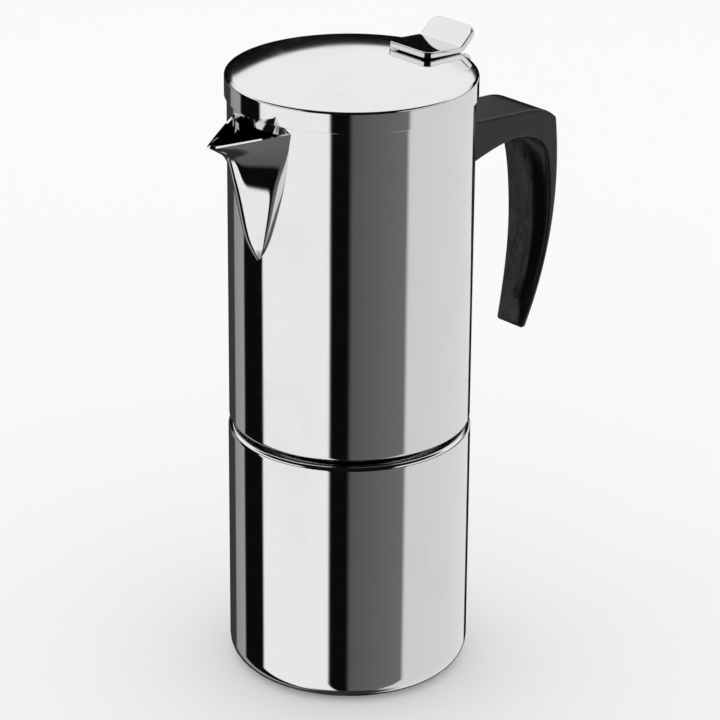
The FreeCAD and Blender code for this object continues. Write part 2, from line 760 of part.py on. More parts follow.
def knuckle_and_web():
    """The lid's half of the hinge: a barrel on the pin and a web to the skirt."""
    half = dims.knuckle_width.value / 2
    x = dims.hinge_x.value
    z = dims.hinge_z.value
    width = dims.knuckle_width.value
    barrel = Part.makeCylinder(dims.knuckle_radius.value, width, Vector(x, -half, z),
                               Vector(0, 1, 0))
    web = Part.makeBox(x - 44.0, width, 2.4, Vector(44.0, -half, z + 0.6))
    bore = Part.makeCylinder(dims.pin_radius.value + dims.pin_play.value, width + 2,
                             Vector(x, -half - 1, z), Vector(0, 1, 0))
    skirt = pot_cylinder(dims.lid_radius)
    return feature("lid_knuckle", barrel.fuse(web).cut(skirt).cut(bore).removeSplitter())


def hinge_bracket():
    """A U of sheet steel welded to the collector: a back and two ears that hold the pin."""
    x = dims.hinge_x.value
    z = dims.hinge_z.value
    inner = dims.knuckle_width.value / 2 + dims.ear_gap.value
    outer = inner + dims.ear_sheet.value
    low = dims.bracket_bottom.value
    top = dims.bracket_top.value
    wall = dims.collector_radius.value
    eye = dims.knuckle_radius.value + 0.4
    back = Part.makeBox(4.0, 2 * outer, top - low, Vector(wall - 2.4, -outer, low))
    bracket = back
    for start in (inner, -outer):
        side = Part.makePolygon([Vector(wall - 1.5, start, low), Vector(wall + 3.4, start, low),
                                 Vector(x + eye, start, z - 7.0), Vector(x + eye, start, z),
                                 Vector(x - eye, start, z), Vector(x - eye, start, top),
                                 Vector(wall - 1.5, start, top), Vector(wall - 1.5, start, low)])
        plate = Part.Face(side).extrude(Vector(0, outer - inner, 0))
        end = Part.makeCylinder(eye, outer - inner, Vector(x, start, z), Vector(0, 1, 0))
        bracket = bracket.fuse(plate).fuse(end)
    bore = Part.makeCylinder(dims.pin_radius.value + 0.02, 40, Vector(x, -20, z),
                             Vector(0, 1, 0))
    return feature("hinge_bracket",
                   bracket.cut(pot_cylinder(wall)).cut(bore).removeSplitter())


def hinge_pin():
    """A plain pin with two riveted heads."""
    x = dims.hinge_x.value
    z = dims.hinge_z.value
    half = dims.knuckle_width.value / 2 + dims.ear_gap.value + dims.ear_sheet.value
    along = Vector(0, 1, 0)
    shank = Part.makeCylinder(dims.pin_radius.value, 2 * half + 1.6, Vector(x, -half - 0.8, z),
                              along)
    heads = [Part.makeCylinder(2.3, 0.8, Vector(x, start, z), along)
             for start in (half, -half - 0.8)]
    return feature("hinge_pin", shank.fuse(heads).removeSplitter())


# ---------------------------------------------------------------- handle

def side_outline():
    """The handle seen from the side: a deep arm, a round corner and a bowed grip."""
    wall = dims.collector_radius.value - 1.0
    top = dims.arm_top.value
    reach = dims.handle_reach.value + 1.0
    tip = dims.handle_tip.value
    turn_down = dims.handle_corner.value
    fall = math.atan2(dims.arm_drop.value, reach - wall - turn_down)
    corner_x = reach - turn_down
    corner_z = top - dims.arm_drop.value
    round_off = turn_down / (1 - math.sin(fall))
    centre = Vector(reach - round_off, 0, corner_z - round_off * math.cos(fall))

    def at(x, z):
        return Vector(x, 0, z)

    def on_corner(angle):
        return centre + Vector(math.cos(angle), 0, math.sin(angle)) * round_off
    corner_start = at(corner_x, corner_z)
    corner = Part.Arc(corner_start, on_corner(math.pi / 4), on_corner(0)).toShape()
    inner = Part.BSplineCurve()
    inner.interpolate([at(83.0, tip), at(88.8, tip + 19), at(91.8, tip + 36), at(92.2, tip + 52),
                       at(90.6, tip + 67), at(86.6, tip + 76.6), at(79.0, tip + 80.6),
                       at(62.0, tip + 80.0), at(wall, tip + 75.2)])
    return Part.Wire([
        Part.makeLine(at(wall, top), corner_start), corner,
        Part.makeLine(on_corner(0), at(reach, tip)), Part.makeLine(at(reach, tip), at(83.0, tip)),
        inner.toShape(), Part.makeLine(at(wall, tip + 75.2), at(wall, top))])


def crowned_section(share):
    """The handle seen from above at a share of its height: flat sides and a crowned back."""
    top = dims.arm_top.value + 1.0
    tip = dims.handle_tip.value - 1.0
    height = top + (tip - top) * share
    half = (dims.tip_half.value
            + (dims.handle_half.value - dims.tip_half.value) * (1 - share ** 2.5))
    bow = 4 * 6.3 * share * (1 - share)
    side = dims.handle_reach.value - 7.7 - 7.3 * share + bow
    crown = side + 1.6 + half * 0.25

    def at(x, y):
        return Vector(x, y, height)
    return Part.Wire([
        Part.makeLine(at(40.0, -half), at(side, -half)),
        Part.Arc(at(side, -half), at(crown, 0), at(side, half)).toShape(),
        Part.makeLine(at(side, half), at(40.0, half)),
        Part.makeLine(at(40.0, half), at(40.0, -half))])


def handle():
    """The side outline and the crowned taper, taken together, with a slot for the tang."""
    half = dims.handle_half.value + 1.0
    slab = Part.Face(side_outline()).extrude(Vector(0, 2 * half, 0))
    slab.translate(Vector(0, -half, 0))
    taper = Part.makeLoft([crowned_section(step / 6) for step in range(7)], True, False)
    grip = slab.common(taper).cut(pot_cylinder(dims.collector_radius)).removeSplitter()
    wall = dims.collector_radius.value

    def off_the_wall(edge):
        return all(math.hypot(v.Point.x, v.Point.y) > wall + 0.5 for v in edge.Vertexes)
    soft = [edge for edge in grip.Edges if off_the_wall(edge)]
    grip = grip.makeFillet(1.2, soft)
    low = dims.handle_tip.value + 60.0
    ledge = dims.tang_bottom.value - 1.6
    head_hole = Part.makeCylinder(3.8, ledge - low, Vector(screw_place(), 0, low))
    shank_hole = Part.makeCylinder(dims.screw_radius.value + 0.1, ledge + 2.0 - low,
                                   Vector(screw_place(), 0, low))
    return feature("handle", grip.cut(tang_box(0.1)).cut(head_hole).cut(shank_hole))


def screw_place():
    """How far from the pot's axis the handle's screw stands."""
    return dims.collector_radius.value + 9.0


def tang_box(play):
    width = dims.tang_width.value + 2 * play
    return Part.makeBox(dims.tang_length.value + 1.0 + play, width,
                        dims.tang_height.value + 2 * play,
                        Vector(dims.collector_radius.value - 1.0, -width / 2,
                               dims.tang_bottom.value - play))


def handle_tang():
    """The steel bar welded to the collector that the handle is pushed over and screwed to."""
    hole = Part.makeCylinder(dims.screw_radius.value, 40,
                             Vector(screw_place(), 0, dims.tang_bottom.value - 10))
    tang = tang_box(0.0).cut(pot_cylinder(dims.collector_radius))
    return feature("handle_tang", tang.cut(hole))


def handle_screw():
    """A pan-head screw that comes up through the arm into the tang."""
    head_top = dims.tang_bottom.value - 1.6
    head = Part.makeCylinder(3.5, 2.0, Vector(screw_place(), 0, head_top - 2.0))
    rim = [edge for edge in head.Edges if isinstance(edge.Curve, Part.Circle)
           and edge.Curve.Center.z < head_top - 1]
    head = head.makeFillet(0.9, rim)
    shank = Part.makeCylinder(dims.screw_radius.value, dims.tang_height.value + 0.6,
                              Vector(screw_place(), 0, head_top))
    slot = Part.makeBox(8, 0.9, 0.9, Vector(screw_place() - 4, -0.45, head_top - 2.0))
    return feature("handle_screw", head.fuse(shank).cut(slot).removeSplitter())


# ---------------------------------------------------------------- the whole pot

PIECES = (boiler_shell, valve_washer, valve_body, valve_nut, valve_pin, valve_spring, funnel_cup,
          funnel_stem, funnel_plate, gasket, filter_plate, collector_floor, thread_collar,
          riser_column, column_cap, spout, lid_disc, thumb_lever, knuckle_and_web,
          hinge_bracket, hinge_pin, handle, handle_tang, handle_screw)
for piece in PIECES:
    node(piece())
node(open_to_spout(collector_shell()))
doc.recompute()

for thing in doc.Objects:
    if "Invalid" in thing.State or "Error" in thing.State:
        raise RuntimeError(f"{thing.Name} did not build: {thing.State}")
shapes = {}
for name in node_names:
    thing = doc.getObject(name)
    if thing.Shape.isNull() or not thing.Shape.isValid():
        raise RuntimeError(f"{thing.Label} is not a sound solid")
    shapes[thing.Label] = thing.Shape

os.makedirs("parts", exist_ok=True)
for label, shape in shapes.items():
    shape.exportStep(f"parts/{label}.step")
    box = shape.optimalBoundingBox()
    print(f"{label:18s} {len(shape.Solids)} solid {shape.Volume / 1000:8.2f} cm3  "
          f"x {box.XMin:6.1f} {box.XMax:6.1f}  y {box.YMin:6.1f} {box.YMax:6.1f}  "
          f"z {box.ZMin:6.1f} {box.ZMax:6.1f}")
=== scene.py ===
# %% [markdown]
# # A stove-top coffee pot in polished steel
#
# The pot is three vessels in one stack: a boiler, a funnel of ground coffee hanging in its neck, and a
# collector that screws on top. The CAD frame already holds every piece at its real size and place. Here
# each piece gets the skin that the eye judges: mirror-bright sheet steel, satin steel inside, and a black
# handle.

# %% Load the frame
import json
import math

import bmesh
import bpy
from mathutils import Matrix, Vector


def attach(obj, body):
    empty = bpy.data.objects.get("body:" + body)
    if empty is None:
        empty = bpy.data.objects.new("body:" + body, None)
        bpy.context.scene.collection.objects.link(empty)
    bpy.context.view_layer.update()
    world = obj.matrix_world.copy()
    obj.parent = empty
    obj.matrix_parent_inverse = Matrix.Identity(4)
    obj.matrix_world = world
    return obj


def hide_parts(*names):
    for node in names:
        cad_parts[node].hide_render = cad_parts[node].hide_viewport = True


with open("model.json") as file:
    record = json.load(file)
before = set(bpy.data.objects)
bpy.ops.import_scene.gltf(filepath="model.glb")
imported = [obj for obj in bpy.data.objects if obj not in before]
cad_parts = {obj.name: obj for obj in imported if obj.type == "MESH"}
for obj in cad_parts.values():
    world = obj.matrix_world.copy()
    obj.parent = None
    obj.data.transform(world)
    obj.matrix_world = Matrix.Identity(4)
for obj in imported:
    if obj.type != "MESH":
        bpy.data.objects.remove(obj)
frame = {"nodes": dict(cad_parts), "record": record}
scene = bpy.context.scene
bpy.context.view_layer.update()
MM = 0.001
BODY_OF = {node: body for body, nodes in frame["record"]["behaviour"]["bodies"].items() for node in nodes}
SLOT_OF = {part["node"]: part["material_slot"] for part in frame["record"]["subparts"]}

# %% [markdown]
# ## The camera
#
# A long lens from a little over a metre away, looking down at the lid. A long lens keeps the upright
# sides of the pot parallel, which is how a catalogue shows a cylinder.

# %% The camera
VIEW_SIDE = math.radians(42.5)
VIEW_DISTANCE = 1139.3 * MM
VIEW_HEIGHT = 605.8 * MM
VIEW_PITCH = math.radians(23.08)
VIEW_YAW = math.radians(0.19)
VIEW_ROLL = math.radians(0.44)
LENS = 166.5
SENSOR = 36.0
FAR_CLIP = 50.0

across = Vector((math.cos(VIEW_SIDE), -math.sin(VIEW_SIDE), 0))
away = Vector((math.sin(VIEW_SIDE), math.cos(VIEW_SIDE), 0))
forward = ((across * math.sin(VIEW_YAW) + away * math.cos(VIEW_YAW)) * math.cos(VIEW_PITCH)
           - Vector((0, 0, 1)) * math.sin(VIEW_PITCH))
level = (across * math.cos(VIEW_YAW) - away * math.sin(VIEW_YAW)).normalized()
upright = level.cross(forward)
right = level * math.cos(VIEW_ROLL) + upright * math.sin(VIEW_ROLL)
top = upright * math.cos(VIEW_ROLL) - level * math.sin(VIEW_ROLL)

camera = bpy.data.objects.new("camera", bpy.data.cameras.new("camera"))
scene.collection.objects.link(camera)
camera.data.sensor_width = SENSOR
camera.data.lens = LENS
camera.data.clip_end = FAR_CLIP
turn = Matrix((right, top, -forward)).transposed().to_4x4()
camera.matrix_world = Matrix.Translation(Vector((0, 0, VIEW_HEIGHT)) - away * VIEW_DISTANCE) @ turn
scene.camera = camera
scene.view_settings.view_transform = "Standard"
print("camera at", [round(c, 3) for c in camera.location])

# %% [markdown]
# ## Shader maths
#
# Finishes are sums and products of a few noises. A small class wraps a socket, so that those sums can be
# written as ordinary Python and each operator adds its Math node.

# %% A socket that can be added and multiplied
class Value:
    def __init__(self, paint, socket):
        self.paint = paint
        self.socket = socket

    def _math(self, operation, left, right):
        return self.paint.node("ShaderNodeMath", {"operation": operation}, left, right)

    def __add__(self, other):
        return self._math("ADD", self, other)

    def __sub__(self, other):
        return self._math("SUBTRACT", self, other)

    def __rsub__(self, other):
        return self._math("SUBTRACT", other, self)

    def __mul__(self, other):
        return self._math("MULTIPLY", self, other)

    def __truediv__(self, other):
        return self._math("DIVIDE", self, other)

    __radd__ = __add__
    __rmul__ = __mul__


class Paint:
    """A node tree, and one method that adds any node to it."""

    def __init__(self, tree):
        self.tree = tree

    def node(self, kind, settings=None, *values, output=0, pins=None, **named):
        made = self.tree.nodes.new(kind)
        for name, setting in (settings or {}).items():
            if name == "stops":
                set_stops(made.color_ramp, setting)
            else:
                setattr(made, name, setting)
        for key, value in list(enumerate(values)) + list((pins or {}).items()) + list(named.items()):
            socket = made.inputs[key if isinstance(key, int) else key.replace("_", " ")]
            if isinstance(value, Value):
                self.tree.links.new(value.socket, socket)
            else:
                socket.default_value = value
        return Value(self, made.outputs[output])

    def smooth_step(self, value, low, high):
        settings = {"interpolation_type": "SMOOTHSTEP"}
        return self.node("ShaderNodeMapRange", settings, value, low, high, 0.0, 1.0)

    def mix(self, share, first, second):
        """A colour mix, because a Math node would turn a colour grey."""
        return self.node("ShaderNodeMix", {"data_type": "RGBA"}, share, output=2,
                         pins={6: first, 7: second})


def set_stops(ramp, stops):
    while len(ramp.elements) < len(stops):
        ramp.elements.new(1.0)
    for element, (place, tone) in zip(ramp.elements, stops):
        element.position = place
        element.color = (tone, tone, tone, 1)


# %% [markdown]
# ## The studio
#
# Polished steel has almost no look of its own: what the eye reads as chrome is the room around it. A room
# could be built from real cards and lamps, but cards on every side would also crowd the other views. Here
# the cards are drawn in the world instead, where only reflections see them, and a plain white world
# lights everything else.
#
# Upright walls mirror what lies below eye level, so that ring of tall cards is laid out by compass angle
# alone: white, grey and black stripes. Level surfaces, such as the lid, mirror what is high up: a white
# sheet with a rounded front edge, and a small card on each side that lights the edges of the lever by way
# of the lid. What leans far over the floor, such as the round under the boiler, mirrors the dark ground
# right at its foot.

# %% The ring of cards, by the angle round from the camera to its right
CARDS = [
    (-180, 0.035), (-141, 0.05), (-139, 0.30), (-120, 0.36), (-118, 0.004), (-91, 0.004), (-89, 1.0),
    (-20, 1.0), (-18, 0.004), (-2, 0.004), (2, 0.105), (52, 0.17), (56, 0.74), (155, 0.84),
    (157, 0.006), (180, 0.006)]
BLACK = (0.004, 0.004, 0.004, 1)
DARK_GROUND = (0.03, 0.03, 0.03, 1)
WHITE = (1.0, 1.0, 1.0, 1)

world = bpy.data.worlds.new("studio")
scene.world = world
world.use_nodes = True
world.node_tree.nodes.clear()
studio = Paint(world.node_tree)
direction = studio.node("ShaderNodeTexCoord", output=0)


def along(vector):
    return studio.node("ShaderNodeVectorMath", {"operation": "DOT_PRODUCT"}, direction, tuple(vector),
                       output=1)


side = along(across)
depth = along(away)
height = along((0, 0, 1))
angle = studio.node("ShaderNodeMath", {"operation": "ARCTAN2"}, side, depth * -1.0)
ring = studio.node("ShaderNodeValToRGB", {"stops": [((a + 180) / 360, tone) for a, tone in CARDS]},
                   angle / (2 * math.pi) + 0.5)
print(len(CARDS), "stops in the ring of cards")

# %% The white sheet overhead, the two side cards and the ground below
SHEET_FRONT = 0.240
SHEET_CURVE = 17.0
SHEET_TILT = 0.15
SHEET_SIDES = 0.4
SHEET_EDGE = 0.004
SHEET_DEPTH = (0.25, 0.35)
SIDE_CARD_START = (0.60, 0.70)
SIDE_CARD_FOOT = (0.18, 0.22)
SIDE_CARD_TOP = (0.48, 0.52)
GROUND = (-0.975, -0.90)
HORIZON = 0.01

front = studio.node("ShaderNodeMath", {"operation": "MINIMUM"},
                    side * side * SHEET_CURVE - side * SHEET_TILT + SHEET_FRONT, SHEET_SIDES)
sheet = studio.smooth_step(height - front, -SHEET_EDGE, SHEET_EDGE) * studio.smooth_step(depth, *SHEET_DEPTH)
lower = studio.mix(studio.smooth_step(height, *GROUND), DARK_GROUND, ring)
sideways = studio.node("ShaderNodeMath", {"operation": "ABSOLUTE"}, side)
side_cards = (studio.smooth_step(sideways, *SIDE_CARD_START) * studio.smooth_step(height, *SIDE_CARD_FOOT)
              * (1.0 - studio.smooth_step(height, *SIDE_CARD_TOP)))
upper = studio.mix(sheet + side_cards, BLACK, WHITE)
cards = studio.mix(studio.smooth_step(height, -HORIZON, HORIZON), lower, upper)
glossy = studio.node("ShaderNodeLightPath", output=3)
mirrored = studio.node("ShaderNodeBackground", None, cards, 1.0)
soft_light = studio.node("ShaderNodeBackground", None, WHITE, 1.0)
sky = studio.node("ShaderNodeMixShader", None, glossy, soft_light, mirrored)
output = world.node_tree.nodes.new("ShaderNodeOutputWorld")
world.node_tree.links.new(sky.socket, output.inputs["Surface"])
print("the studio has", len(world.node_tree.nodes), "nodes")

# %% [markdown]
# ## Finishes
#
# Every finish starts from one Principled shader. What is the same all over the surface is set on its own
# socket. What changes from place to place is a sum of noises that read Object coordinates, so the pattern
# stays with the piece when it moves.

# %% A material with an empty shader
def finish(name, **constants):
    made = bpy.data.materials.new(name)
    made.use_nodes = True
    made.node_tree.nodes.clear()
    paint = Paint(made.node_tree)
    shader = made.node_tree.nodes.new("ShaderNodeBsdfPrincipled")
    end = made.node_tree.nodes.new("ShaderNodeOutputMaterial")
    made.node_tree.links.new(shader.outputs[0], end.inputs["Surface"])
    for key, value in constants.items():
        shader.inputs[key.replace("_", " ")].default_value = value
    return made, paint, shader


def wire(paint, shader, **links):
    for key, value in links.items():
        paint.tree.links.new(value.socket, shader.inputs[key.replace("_", " ")])


def noise(paint, place, scale, detail=3.0, roughness=0.5):
    return paint.node("ShaderNodeTexNoise", None, place, Scale=scale, Detail=detail, Roughness=roughness)


def stretched(paint, place, x, y, z):
    return paint.node("ShaderNodeMapping", None, place, Scale=(x, y, z))


def bump(paint, height, distance):
    return paint.node("ShaderNodeBump", None, Strength=1.0, Distance=distance, Height=height)


# %% [markdown]
# ## Mirror-polished steel
#
# The outside of the pot is buffed sheet. A buffed sheet isn't a perfect mirror: it has a very slight
# waviness that bends the edges of reflections, hair-fine buffing lines that run round the pot, and a
# faint film of smudges that only changes how sharp the reflection is. The waviness and the lines go into
# the bump, and the smudges go into the roughness.

# %% Mirror-polished steel
def polished_steel():
    made, paint, shader = finish("polished_steel", Metallic=1.0)
    place = paint.node("ShaderNodeTexCoord", output=3)
    waves = noise(paint, place, 16.0, 1.0)
    buffing = noise(paint, stretched(paint, place, 30.0, 30.0, 2600.0), 1.0, 2.0)
    smudge = paint.smooth_step(noise(paint, place, 34.0, 5.0, 0.62), 0.50, 0.74)
    specks = paint.smooth_step(noise(paint, place, 900.0, 1.0), 0.70, 0.82)
    clean = (0.80, 0.80, 0.812, 1)
    filmed = (0.765, 0.765, 0.775, 1)
    wire(paint, shader, Base_Color=paint.mix(smudge, clean, filmed),
         Roughness=smudge * 0.035 + specks * 0.04 + buffing * 0.03 + 0.03,
         Normal=bump(paint, waves * 0.00006 + buffing * 0.0000005, 1.0))
    return made


# %% [markdown]
# ## Satin steel inside
#
# The inner pieces are only turned or deep-drawn, so they keep the fine rings of the tool. Rings on a
# level face follow the distance from the axis, and rings on an upright wall follow the height, so the
# pattern reads the sum of both.

# %% Satin steel
def satin_steel():
    made, paint, shader = finish("satin_steel", Metallic=1.0)
    place = paint.node("ShaderNodeTexCoord", output=3)
    flat = paint.node("ShaderNodeVectorMath", {"operation": "MULTIPLY"}, place, (1.0, 1.0, 0.0))
    reach = paint.node("ShaderNodeVectorMath", {"operation": "LENGTH"}, flat, output=1)
    level = paint.node("ShaderNodeSeparateXYZ", None, place, output=2)
    rings = paint.node("ShaderNodeTexNoise", {"noise_dimensions": "1D"}, W=(reach + level) * 3600.0,
                       Scale=1.0, Detail=2.0)
    stain = paint.smooth_step(noise(paint, place, 60.0, 4.0), 0.48, 0.70)
    wire(paint, shader,
         Base_Color=paint.mix(stain, (0.63, 0.63, 0.635, 1), (0.53, 0.52, 0.505, 1)),
         Roughness=rings * 0.14 + stain * 0.10 + 0.17,
         Normal=bump(paint, rings * 0.000012, 1.0))
    return made


# %% [markdown]
# ## Brass, spring wire and rubber
#
# The safety valve is turned brass that has dulled a little, its spring and the hinge pin are drawn steel
# with lines along the wire, and the seal is pale food-safe rubber with a dusty, slightly mottled surface.

# %% Brass, spring wire and rubber
def brass():
    made, paint, shader = finish("brass", Metallic=1.0)
    place = paint.node("ShaderNodeTexCoord", output=3)
    dull = paint.smooth_step(noise(paint, place, 240.0, 5.0, 0.6), 0.42, 0.68)
    lines = noise(paint, stretched(paint, place, 200.0, 5200.0, 200.0), 1.0, 2.0)
    wire(paint, shader, Base_Color=paint.mix(dull, (0.80, 0.60, 0.27, 1), (0.60, 0.42, 0.19, 1)),
         Roughness=dull * 0.16 + lines * 0.10 + 0.14, Normal=bump(paint, lines * 0.000008, 1.0))
    return made


def spring_steel():
    made, paint, shader = finish("spring_steel", Metallic=1.0)
    place = paint.node("ShaderNodeTexCoord", output=3)
    drawn = noise(paint, stretched(paint, place, 3800.0, 240.0, 3800.0), 1.0, 2.0)
    dark = paint.smooth_step(noise(paint, place, 320.0, 4.0), 0.45, 0.65)
    wire(paint, shader, Base_Color=paint.mix(dark, (0.58, 0.57, 0.56, 1), (0.42, 0.41, 0.40, 1)),
         Roughness=drawn * 0.16 + dark * 0.08 + 0.16, Normal=bump(paint, drawn * 0.000006, 1.0))
    return made


def seal_rubber():
    made, paint, shader = finish("seal_rubber")
    place = paint.node("ShaderNodeTexCoord", output=3)
    dust = paint.smooth_step(noise(paint, place, 180.0, 5.0, 0.6), 0.40, 0.72)
    grain = noise(paint, place, 2400.0, 2.0)
    wire(paint, shader, Base_Color=paint.mix(dust, (0.72, 0.70, 0.66, 1), (0.60, 0.57, 0.52, 1)),
         Roughness=dust * 0.12 + grain * 0.10 + 0.52, Normal=bump(paint, grain * 0.00003, 1.0))
    return made


# %% [markdown]
# ## Black plastic
#
# The handle is moulded phenolic plastic. Its sides come out of the mould satin, with a grain too fine to
# count. The face that the fingers pull on is smoother, and on its far half it has gone matt in patches where
# the finger tips rub. Those patches are also painted a little pale, and that paler colour is painted light:
# it stands for the light from the left that falls on the far half of the face below the arm, most of all low
# down. One mask finds the surfaces that look back at the pot, a second keeps the far half of them, and the
# matt, pale patches are a noise on both masks, drawn out along the grip and stronger low down.

# %% Black plastic
def black_plastic():
    made, paint, shader = finish("black_plastic", Specular_IOR_Level=0.42)
    place = paint.node("ShaderNodeTexCoord", output=3)
    facing = paint.node("ShaderNodeTexCoord", output=1)
    toward_pot = paint.node("ShaderNodeVectorMath", {"operation": "DOT_PRODUCT"}, facing, (-1.0, 0.0, 0.0),
                            output=1)
    level = paint.node("ShaderNodeSeparateXYZ", None, place, output=2)
    wide = paint.node("ShaderNodeSeparateXYZ", None, place, output=1)
    grip = paint.smooth_step(toward_pot, 0.45, 0.80) * (1.0 - paint.smooth_step(level, 0.172, 0.190))
    grain = noise(paint, place, 2100.0, 2.0)
    drawn = stretched(paint, place, 330.0, 330.0, 110.0)
    patches = noise(paint, drawn, 1.0, 5.0, 0.68)
    # Stronger low down: this is part of the painted light on the grip, which is brightest low down.
    low = 1.0 - paint.smooth_step(level, 0.112, 0.165)
    # The far half of the grip face, which the light from the left falls on, and where that light is painted
    # on as a paler colour.
    lit_half = paint.smooth_step(wide, -0.003, 0.004)
    wear_and_painted_light = grip * lit_half * paint.smooth_step(patches + low * 0.10, 0.36, 0.62)
    # The pale colour of the worn patches is painted light, and their matt roughness and bump are real wear.
    wire(paint, shader,
         Base_Color=paint.mix(wear_and_painted_light, (0.0026, 0.0026, 0.0028, 1), (0.034, 0.0335, 0.033, 1)),
         Roughness=wear_and_painted_light * 0.26 + grain * 0.04 - grip * 0.10 + 0.25,
         Normal=bump(paint, grain * 0.000008 + wear_and_painted_light * patches * 0.00030, 1.0))
    return made


FINISHES = {"polished_steel": polished_steel(), "satin_steel": satin_steel(), "brass": brass(),
            "spring_steel": spring_steel(), "seal_rubber": seal_rubber(), "black_plastic": black_plastic()}
print("finishes:", ", ".join(FINISHES))

# %% [markdown]
# ## The floor
#
# A plain pale disc, wide enough for its edge to stay out of every view. Reflections don't see it, because
# the studio's ring of cards runs on below the horizon for them.

# %% The floor
FLOOR_RADIUS = 4.0
FLOOR_SEGMENTS = 96

floor_mesh = bmesh.new()
bmesh.ops.create_circle(floor_mesh, cap_ends=True, segments=FLOOR_SEGMENTS, radius=FLOOR_RADIUS)
floor_data = bpy.data.meshes.new("floor")
floor_mesh.to_mesh(floor_data)
floor = bpy.data.objects.new("floor", floor_data)
scene.collection.objects.link(floor)
floor.visible_glossy = False
floor_paint, floor_nodes, floor_shader = finish("floor_paint", Roughness=0.9)
floor_tone = noise(floor_nodes, floor_nodes.node("ShaderNodeTexCoord", output=3), 3.0, 2.0)
wire(floor_nodes, floor_shader,
     Base_Color=floor_nodes.mix(floor_tone, (0.98, 0.98, 0.98, 1), (0.965, 0.965, 0.965, 1)))
floor.data.materials.append(floor_paint)
print("floor", FLOOR_RADIUS * 2, "m across")

# %% [markdown]
# ## Finishing a mesh
#
# Every new piece ends the same way. Doubles are merged first, because a full spin leaves a seam and a
# point on the axis leaves a fan of copies. Only then are the normals turned outwards. Edges sharper than
# a chosen angle stay crisp, and weighted normals keep the flat faces flat between rounded edges, which
# matters a great deal on a mirror.

# %% Finishing a mesh
CRISP = math.radians(28)
JOIN = 0.000001


def shade(mesh, crisp=CRISP):
    for face in mesh.faces:
        face.smooth = True
    for edge in mesh.edges:
        edge.smooth = len(edge.link_faces) == 2 and edge.calc_face_angle(0) < crisp


def close_and_place(mesh, name):
    """Merges doubles, turns the faces outwards, shades and places a newly made mesh."""
    bmesh.ops.remove_doubles(mesh, verts=mesh.verts, dist=JOIN)
    bmesh.ops.recalc_face_normals(mesh, faces=mesh.faces)
    shade(mesh)
    place_piece(mesh, name)


def place_piece(mesh, name, *modifiers):
    """Turns a mesh into the visible form of the CAD node of that name."""
    data = bpy.data.meshes.new(name + "_skin")
    mesh.to_mesh(data)
    mesh.free()
    made = bpy.data.objects.new(name + "_skin", data)
    scene.collection.objects.link(made)
    for kind, settings in modifiers + (("WEIGHTED_NORMAL", {"keep_sharp": True, "weight": 100}),):
        modifier = made.modifiers.new(kind.lower(), kind)
        for key, setting in settings.items():
            setattr(modifier, key, setting)
    data.materials.append(FINISHES[SLOT_OF[name]])
    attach(made, BODY_OF[name])
    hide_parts(name)
    print(f"{name}: {len(data.polygons)} faces")


# %% [markdown]
# ## Turned shapes
#
# The boiler, the collector's wall and the lid are round about one axis, so each is an outline that is
# spun once round. The outline's corners are typed in millimetres, and each corner may have a round, which
# a vertex bevel makes before the spin. Bevelling the outline is cleaner than bevelling the finished
# solid: every ring of the round has the same number of faces.

# %% Outlines and spins
STEPS = 192
ROUND_SEGMENTS = 7
AXIS = (0, 0, 1)


def outline(corners, closed=True):
    """A wire in the X-Z plane through (radius, height, round) corners, in millimetres."""
    mesh = bmesh.new()
    points = [mesh.verts.new((corner[0] * MM, 0, corner[1] * MM)) for corner in corners]
    for start, end in zip(points, points[1:] + points[:1] * closed):
        mesh.edges.new((start, end))
    for point, corner in zip(points, corners):
        if len(corner) > 2:
            bmesh.ops.bevel(mesh, geom=[point], offset=corner[2] * MM, affect="VERTICES",
                            segments=ROUND_SEGMENTS, profile=0.5, material=-1)
    return mesh


def spin_round(mesh):
    bmesh.ops.spin(mesh, geom=mesh.verts[:] + mesh.edges[:], cent=(0, 0, 0), axis=AXIS, dvec=(0, 0, 0),
                   angle=2 * math.pi, steps=STEPS, use_merge=True)
    bmesh.ops.remove_doubles(mesh, verts=mesh.verts, dist=JOIN)
    bmesh.ops.recalc_face_normals(mesh, faces=mesh.faces)
    return mesh


# %% [markdown]
# ## The boiler
#
# A deep-drawn can with a soft edge under it, a shoulder, and a neck with an outside thread. The can is
# one spun outline. The thread is a small flat-topped ridge: its section is spun too, with a rise for
# every step, so that it climbs like a screw. The hole for the safety valve is hidden by the valve's own
# washer and nut, so the wall here stays whole behind them.

# %% The boiler
BOILER_RADIUS = 45.3
BOILER_SHEET = 1.2
BASE_SHEET = 1.6
BASE_ROUND = 8.0
SHOULDER = 97.0
NECK_RADIUS = 35.0
NECK_BORE = 33.4
NECK_TOP = 110.0

inside = BOILER_RADIUS - BOILER_SHEET
under_shoulder = SHOULDER - BOILER_SHEET
boiler = spin_round(outline([
    (0, 0), (BOILER_RADIUS, 0, BASE_ROUND), (BOILER_RADIUS, SHOULDER, 2.0), (NECK_RADIUS, SHOULDER, 0.5),
    (NECK_RADIUS, NECK_TOP, 0.4), (NECK_BORE, NECK_TOP, 0.3), (NECK_BORE, under_shoulder, 0.4),
    (inside, under_shoulder, 0.8), (inside, BASE_SHEET, BASE_ROUND - BOILER_SHEET), (0, BASE_SHEET)],
    closed=False))
print("boiler can:", len(boiler.faces), "faces")

# %% The thread on its neck
THREAD_PITCH = 4.0
THREAD_TURNS = 2.0
THREAD_STEPS = 96
THREAD_MIDDLE = 100.5
THREAD_ROOT = (NECK_RADIUS - 0.3, 1.1)
THREAD_CREST = (NECK_RADIUS + 1.2, 0.6)
CREST_ROUND = 0.15

